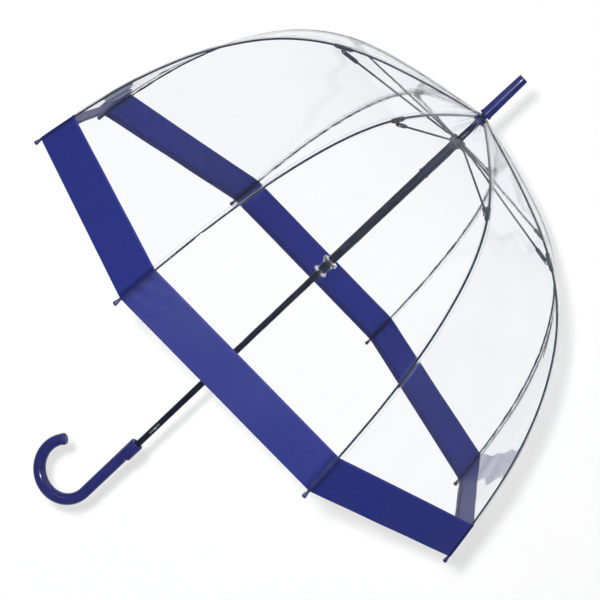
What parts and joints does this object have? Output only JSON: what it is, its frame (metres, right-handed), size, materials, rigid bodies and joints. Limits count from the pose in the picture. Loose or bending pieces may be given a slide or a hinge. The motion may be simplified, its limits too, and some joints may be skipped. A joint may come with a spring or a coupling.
{
  "type": "clear dome umbrella",
  "caption": "Open clear dome umbrella with a coloured border band, crook handle, ferrule, folding ribs, stretchers and a sliding runner.",
  "frame": {"origin": "on the shaft's axis inside the handle's straight grip, where a hand holds it, 50 mm below the handle's upper end", "axes": "+Z along the shaft toward the ferrule, the crook 16 degrees from -X toward +Y, +Y completing the frame"},
  "size_m": [0.805, 0.805, 0.9585],
  "materials": {
    "shaft_tube": "gloss black enamel",
    "handle": "polished royal blue",
    "ferrule": "polished royal blue",
    "crown_notch": "satin navy nylon",
    "crown_wire": "plain wire",
    "crown_disc": "clear PVC",
    "runner_head": "satin navy nylon",
    "runner_tube": "gloss black enamel",
    "runner_wire": "plain wire",
    "thumb_grip": "clear plastic",
    "open_catch": "spring steel",
    "closed_catch": "spring steel",
    "rib_upper": "black glass-fibre rod",
    "rib_lower": "black glass-fibre rod",
    "stretcher": "navy enamel",
    "panel_upper": "clear PVC film",
    "panel_lower": "clear PVC film",
    "border": "royal blue PVC film"
  },
  "bodies": {
    "shaft": {"shaft_tube": "shaft_tube", "handle": "handle", "ferrule": "ferrule", "crown_notch": "crown_notch", "crown_wire": "crown_wire", "crown_disc": "crown_disc"},
    "runner": {"runner_head": "runner_head", "runner_tube": "runner_tube", "runner_wire": "runner_wire", "thumb_grip": "thumb_grip"},
    "open_catch": {"open_catch": "open_catch"},
    "closed_catch": {"closed_catch": "closed_catch"},
    "rib_upper_1": {"rib_upper_1": "rib_upper"},
    "rib_lower_1": {"rib_lower_1": "rib_lower"},
    "stretcher_1": {"stretcher_1": "stretcher"},
    "rib_upper_2": {"rib_upper_2": "rib_upper"},
    "rib_lower_2": {"rib_lower_2": "rib_lower"},
    "stretcher_2": {"stretcher_2": "stretcher"},
    "rib_upper_3": {"rib_upper_3": "rib_upper"},
    "rib_lower_3": {"rib_lower_3": "rib_lower"},
    "stretcher_3": {"stretcher_3": "stretcher"},
    "rib_upper_4": {"rib_upper_4": "rib_upper"},
    "rib_lower_4": {"rib_lower_4": "rib_lower"},
    "stretcher_4": {"stretcher_4": "stretcher"},
    "rib_upper_5": {"rib_upper_5": "rib_upper"},
    "rib_lower_5": {"rib_lower_5": "rib_lower"},
    "stretcher_5": {"stretcher_5": "stretcher"},
    "rib_upper_6": {"rib_upper_6": "rib_upper"},
    "rib_lower_6": {"rib_lower_6": "rib_lower"},
    "stretcher_6": {"stretcher_6": "stretcher"},
    "rib_upper_7": {"rib_upper_7": "rib_upper"},
    "rib_lower_7": {"rib_lower_7": "rib_lower"},
    "stretcher_7": {"stretcher_7": "stretcher"},
    "rib_upper_8": {"rib_upper_8": "rib_upper"},
    "rib_lower_8": {"rib_lower_8": "rib_lower"},
    "stretcher_8": {"stretcher_8": "stretcher"},
    "panel_upper_1": {"panel_upper_1": "panel_upper"},
    "panel_lower_1": {"panel_lower_1": "panel_lower", "border_1": "border"},
    "panel_upper_2": {"panel_upper_2": "panel_upper"},
    "panel_lower_2": {"panel_lower_2": "panel_lower", "border_2": "border"},
    "panel_upper_3": {"panel_upper_3": "panel_upper"},
    "panel_lower_3": {"panel_lower_3": "panel_lower", "border_3": "border"},
    "panel_upper_4": {"panel_upper_4": "panel_upper"},
    "panel_lower_4": {"panel_lower_4": "panel_lower", "border_4": "border"},
    "panel_upper_5": {"panel_upper_5": "panel_upper"},
    "panel_lower_5": {"panel_lower_5": "panel_lower", "border_5": "border"},
    "panel_upper_6": {"panel_upper_6": "panel_upper"},
    "panel_lower_6": {"panel_lower_6": "panel_lower", "border_6": "border"},
    "panel_upper_7": {"panel_upper_7": "panel_upper"},
    "panel_lower_7": {"panel_lower_7": "panel_lower", "border_7": "border"},
    "panel_upper_8": {"panel_upper_8": "panel_upper"},
    "panel_lower_8": {"panel_lower_8": "panel_lower", "border_8": "border"}
  },
  "joints": [
    {"name": "runner_slide", "type": "slide", "parent": "shaft", "child": "runner", "axis": [0, 0, -1], "range_m": [0, 0.37916], "deforming": ["panel_upper_1", "panel_lower_1", "border_1", "panel_upper_2", "panel_lower_2", "border_2", "panel_upper_3", "panel_lower_3", "border_3", "panel_upper_4", "panel_lower_4", "border_4", "panel_upper_5", "panel_lower_5", "border_5", "panel_upper_6", "panel_lower_6", "border_6", "panel_upper_7", "panel_lower_7", "border_7", "panel_upper_8", "panel_lower_8", "border_8"]},
    {"name": "rib_hinge_1", "type": "hinge", "parent": "shaft", "child": "rib_upper_1", "pos_m": [0.00761, 0.00315, 0.75644], "axis": [0.3827, -0.9239, 0], "range_deg": [-67.72, 0]},
    {"name": "rib_flex_1", "type": "hinge", "parent": "rib_upper_1", "child": "rib_lower_1", "pos_m": [0.24122, 0.09992, 0.67098], "axis": [0.3827, -0.9239, 0], "range_deg": [0, 41.39]},
    {"name": "stretcher_hinge_1", "type": "hinge", "parent": "runner", "child": "stretcher_1", "pos_m": [0.00831, 0.00344, 0.711], "axis": [0.3827, -0.9239, 0], "range_deg": [0, 90.3]},
    {"name": "rib_hinge_2", "type": "hinge", "parent": "shaft", "child": "rib_upper_2", "pos_m": [0.00315, 0.00761, 0.75644], "axis": [0.9239, -0.3827, 0], "range_deg": [-67.72, 0]},
    {"name": "rib_flex_2", "type": "hinge", "parent": "rib_upper_2", "child": "rib_lower_2", "pos_m": [0.09992, 0.24122, 0.67098], "axis": [0.9239, -0.3827, 0], "range_deg": [0, 41.39]},
    {"name": "stretcher_hinge_2", "type": "hinge", "parent": "runner", "child": "stretcher_2", "pos_m": [0.00344, 0.00831, 0.711], "axis": [0.9239, -0.3827, 0], "range_deg": [0, 90.3]},
    {"name": "rib_hinge_3", "type": "hinge", "parent": "shaft", "child": "rib_upper_3", "pos_m": [-0.00315, 0.00761, 0.75644], "axis": [0.9239, 0.3827, 0], "range_deg": [-67.72, 0]},
    {"name": "rib_flex_3", "type": "hinge", "parent": "rib_upper_3", "child": "rib_lower_3", "pos_m": [-0.09992, 0.24122, 0.67098], "axis": [0.9239, 0.3827, 0], "range_deg": [0, 41.39]},
    {"name": "stretcher_hinge_3", "type": "hinge", "parent": "runner", "child": "stretcher_3", "pos_m": [-0.00344, 0.00831, 0.711], "axis": [0.9239, 0.3827, 0], "range_deg": [0, 90.3]},
    {"name": "rib_hinge_4", "type": "hinge", "parent": "shaft", "child": "rib_upper_4", "pos_m": [-0.00761, 0.00315, 0.75644], "axis": [0.3827, 0.9239, 0], "range_deg": [-67.72, 0]},
    {"name": "rib_flex_4", "type": "hinge", "parent": "rib_upper_4", "child": "rib_lower_4", "pos_m": [-0.24122, 0.09992, 0.67098], "axis": [0.3827, 0.9239, 0], "range_deg": [0, 41.39]},
    {"name": "stretcher_hinge_4", "type": "hinge", "parent": "runner", "child": "stretcher_4", "pos_m": [-0.00831, 0.00344, 0.711], "axis": [0.3827, 0.9239, 0], "range_deg": [0, 90.3]},
    {"name": "rib_hinge_5", "type": "hinge", "parent": "shaft", "child": "rib_upper_5", "pos_m": [-0.00761, -0.00315, 0.75644], "axis": [-0.3827, 0.9239, 0], "range_deg": [-67.72, 0]},
    {"name": "rib_flex_5", "type": "hinge", "parent": "rib_upper_5", "child": "rib_lower_5", "pos_m": [-0.24122, -0.09992, 0.67098], "axis": [-0.3827, 0.9239, 0], "range_deg": [0, 41.39]},
    {"name": "stretcher_hinge_5", "type": "hinge", "parent": "runner", "child": "stretcher_5", "pos_m": [-0.00831, -0.00344, 0.711], "axis": [-0.3827, 0.9239, 0], "range_deg": [0, 90.3]},
    {"name": "rib_hinge_6", "type": "hinge", "parent": "shaft", "child": "rib_upper_6", "pos_m": [-0.00315, -0.00761, 0.75644], "axis": [-0.9239, 0.3827, 0], "range_deg": [-67.72, 0]},
    {"name": "rib_flex_6", "type": "hinge", "parent": "rib_upper_6", "child": "rib_lower_6", "pos_m": [-0.09992, -0.24122, 0.67098], "axis": [-0.9239, 0.3827, 0], "range_deg": [0, 41.39]},
    {"name": "stretcher_hinge_6", "type": "hinge", "parent": "runner", "child": "stretcher_6", "pos_m": [-0.00344, -0.00831, 0.711], "axis": [-0.9239, 0.3827, 0], "range_deg": [0, 90.3]},
    {"name": "rib_hinge_7", "type": "hinge", "parent": "shaft", "child": "rib_upper_7", "pos_m": [0.00315, -0.00761, 0.75644], "axis": [-0.9239, -0.3827, 0], "range_deg": [-67.72, 0]},
    {"name": "rib_flex_7", "type": "hinge", "parent": "rib_upper_7", "child": "rib_lower_7", "pos_m": [0.09992, -0.24122, 0.67098], "axis": [-0.9239, -0.3827, 0], "range_deg": [0, 41.39]},
    {"name": "stretcher_hinge_7", "type": "hinge", "parent": "runner", "child": "stretcher_7", "pos_m": [0.00344, -0.00831, 0.711], "axis": [-0.9239, -0.3827, 0], "range_deg": [0, 90.3]},
    {"name": "rib_hinge_8", "type": "hinge", "parent": "shaft", "child": "rib_upper_8", "pos_m": [0.00761, -0.00315, 0.75644], "axis": [-0.3827, -0.9239, 0], "range_deg": [-67.72, 0]},
    {"name": "rib_flex_8", "type": "hinge", "parent": "rib_upper_8", "child": "rib_lower_8", "pos_m": [0.24122, -0.09992, 0.67098], "axis": [-0.3827, -0.9239, 0], "range_deg": [0, 41.39]},
    {"name": "stretcher_hinge_8", "type": "hinge", "parent": "runner", "child": "stretcher_8", "pos_m": [0.00831, -0.00344, 0.711], "axis": [-0.3827, -0.9239, 0], "range_deg": [0, 90.3]},
    {"name": "panel_upper_fold_1", "type": "hinge", "parent": "shaft", "child": "panel_upper_1", "pos_m": [0.0051, 0.0051, 0.75512], "axis": [0.7071, -0.7071, 0], "range_deg": [-65.9, 0]},
    {"name": "panel_lower_fold_1", "type": "hinge", "parent": "shaft", "child": "panel_lower_1", "pos_m": [-0.17673, -0.17673, 1.08401], "axis": [0.7071, -0.7071, 0], "range_deg": [-24.45, 0]},
    {"name": "panel_upper_fold_2", "type": "hinge", "parent": "shaft", "child": "panel_upper_2", "pos_m": [0, 0.00722, 0.75512], "axis": [1, 0, 0], "range_deg": [-65.9, 0]},
    {"name": "panel_lower_fold_2", "type": "hinge", "parent": "shaft", "child": "panel_lower_2", "pos_m": [0, -0.24994, 1.08401], "axis": [1, 0, 0], "range_deg": [-24.45, 0]},
    {"name": "panel_upper_fold_3", "type": "hinge", "parent": "shaft", "child": "panel_upper_3", "pos_m": [-0.0051, 0.0051, 0.75512], "axis": [0.7071, 0.7071, 0], "range_deg": [-65.9, 0]},
    {"name": "panel_lower_fold_3", "type": "hinge", "parent": "shaft", "child": "panel_lower_3", "pos_m": [0.17673, -0.17673, 1.08401], "axis": [0.7071, 0.7071, 0], "range_deg": [-24.45, 0]},
    {"name": "panel_upper_fold_4", "type": "hinge", "parent": "shaft", "child": "panel_upper_4", "pos_m": [-0.00722, 0, 0.75512], "axis": [0, 1, 0], "range_deg": [-65.9, 0]},
    {"name": "panel_lower_fold_4", "type": "hinge", "parent": "shaft", "child": "panel_lower_4", "pos_m": [0.24994, 0, 1.08401], "axis": [0, 1, 0], "range_deg": [-24.45, 0]},
    {"name": "panel_upper_fold_5", "type": "hinge", "parent": "shaft", "child": "panel_upper_5", "pos_m": [-0.0051, -0.0051, 0.75512], "axis": [-0.7071, 0.7071, 0], "range_deg": [-65.9, 0]},
    {"name": "panel_lower_fold_5", "type": "hinge", "parent": "shaft", "child": "panel_lower_5", "pos_m": [0.17673, 0.17673, 1.08401], "axis": [-0.7071, 0.7071, 0], "range_deg": [-24.45, 0]},
    {"name": "panel_upper_fold_6", "type": "hinge", "parent": "shaft", "child": "panel_upper_6", "pos_m": [0, -0.00722, 0.75512], "axis": [-1, 0, 0], "range_deg": [-65.9, 0]},
    {"name": "panel_lower_fold_6", "type": "hinge", "parent": "shaft", "child": "panel_lower_6", "pos_m": [0, 0.24994, 1.08401], "axis": [-1, 0, 0], "range_deg": [-24.45, 0]},
    {"name": "panel_upper_fold_7", "type": "hinge", "parent": "shaft", "child": "panel_upper_7", "pos_m": [0.0051, -0.0051, 0.75512], "axis": [-0.7071, -0.7071, 0], "range_deg": [-65.9, 0]},
    {"name": "panel_lower_fold_7", "type": "hinge", "parent": "shaft", "child": "panel_lower_7", "pos_m": [-0.17673, 0.17673, 1.08401], "axis": [-0.7071, -0.7071, 0], "range_deg": [-24.45, 0]},
    {"name": "panel_upper_fold_8", "type": "hinge", "parent": "shaft", "child": "panel_upper_8", "pos_m": [0.00722, 0, 0.75512], "axis": [0, -1, 0], "range_deg": [-65.9, 0]},
    {"name": "panel_lower_fold_8", "type": "hinge", "parent": "shaft", "child": "panel_lower_8", "pos_m": [-0.24994, 0, 1.08401], "axis": [0, -1, 0], "range_deg": [-24.45, 0]},
    {"name": "open_catch_press", "type": "slide", "parent": "shaft", "child": "open_catch", "axis": [-0.9397, 0.342, 0], "range_m": [0, 0.0011], "stiffness_N_per_m": 800, "springref_m": -0.0005},
    {"name": "closed_catch_press", "type": "slide", "parent": "shaft", "child": "closed_catch", "axis": [0, 1, 0], "range_m": [0, 0.0011], "stiffness_N_per_m": 800, "springref_m": -0.0005}
  ],
  "couplings": [
    {"joint": "rib_hinge_1", "follows": "runner_slide", "rad_per_m": -3.1175},
    {"joint": "rib_flex_1", "follows": "runner_slide", "rad_per_m": 1.9054},
    {"joint": "stretcher_hinge_1", "follows": "runner_slide", "rad_per_m": 4.1565},
    {"joint": "rib_hinge_2", "follows": "runner_slide", "rad_per_m": -3.1175},
    {"joint": "rib_flex_2", "follows": "runner_slide", "rad_per_m": 1.9054},
    {"joint": "stretcher_hinge_2", "follows": "runner_slide", "rad_per_m": 4.1565},
    {"joint": "rib_hinge_3", "follows": "runner_slide", "rad_per_m": -3.1175},
    {"joint": "rib_flex_3", "follows": "runner_slide", "rad_per_m": 1.9054},
    {"joint": "stretcher_hinge_3", "follows": "runner_slide", "rad_per_m": 4.1565},
    {"joint": "rib_hinge_4", "follows": "runner_slide", "rad_per_m": -3.1175},
    {"joint": "rib_flex_4", "follows": "runner_slide", "rad_per_m": 1.9054},
    {"joint": "stretcher_hinge_4", "follows": "runner_slide", "rad_per_m": 4.1565},
    {"joint": "rib_hinge_5", "follows": "runner_slide", "rad_per_m": -3.1175},
    {"joint": "rib_flex_5", "follows": "runner_slide", "rad_per_m": 1.9054},
    {"joint": "stretcher_hinge_5", "follows": "runner_slide", "rad_per_m": 4.1565},
    {"joint": "rib_hinge_6", "follows": "runner_slide", "rad_per_m": -3.1175},
    {"joint": "rib_flex_6", "follows": "runner_slide", "rad_per_m": 1.9054},
    {"joint": "stretcher_hinge_6", "follows": "runner_slide", "rad_per_m": 4.1565},
    {"joint": "rib_hinge_7", "follows": "runner_slide", "rad_per_m": -3.1175},
    {"joint": "rib_flex_7", "follows": "runner_slide", "rad_per_m": 1.9054},
    {"joint": "stretcher_hinge_7", "follows": "runner_slide", "rad_per_m": 4.1565},
    {"joint": "rib_hinge_8", "follows": "runner_slide", "rad_per_m": -3.1175},
    {"joint": "rib_flex_8", "follows": "runner_slide", "rad_per_m": 1.9054},
    {"joint": "stretcher_hinge_8", "follows": "runner_slide", "rad_per_m": 4.1565},
    {"joint": "panel_upper_fold_1", "follows": "runner_slide", "rad_per_m": -3.0336},
    {"joint": "panel_lower_fold_1", "follows": "runner_slide", "rad_per_m": -1.1253},
    {"joint": "panel_upper_fold_2", "follows": "runner_slide", "rad_per_m": -3.0336},
    {"joint": "panel_lower_fold_2", "follows": "runner_slide", "rad_per_m": -1.1253},
    {"joint": "panel_upper_fold_3", "follows": "runner_slide", "rad_per_m": -3.0336},
    {"joint": "panel_lower_fold_3", "follows": "runner_slide", "rad_per_m": -1.1253},
    {"joint": "panel_upper_fold_4", "follows": "runner_slide", "rad_per_m": -3.0336},
    {"joint": "panel_lower_fold_4", "follows": "runner_slide", "rad_per_m": -1.1253},
    {"joint": "panel_upper_fold_5", "follows": "runner_slide", "rad_per_m": -3.0336},
    {"joint": "panel_lower_fold_5", "follows": "runner_slide", "rad_per_m": -1.1253},
    {"joint": "panel_upper_fold_6", "follows": "runner_slide", "rad_per_m": -3.0336},
    {"joint": "panel_lower_fold_6", "follows": "runner_slide", "rad_per_m": -1.1253},
    {"joint": "panel_upper_fold_7", "follows": "runner_slide", "rad_per_m": -3.0336},
    {"joint": "panel_lower_fold_7", "follows": "runner_slide", "rad_per_m": -1.1253},
    {"joint": "panel_upper_fold_8", "follows": "runner_slide", "rad_per_m": -3.0336},
    {"joint": "panel_lower_fold_8", "follows": "runner_slide", "rad_per_m": -1.1253}
  ]
}
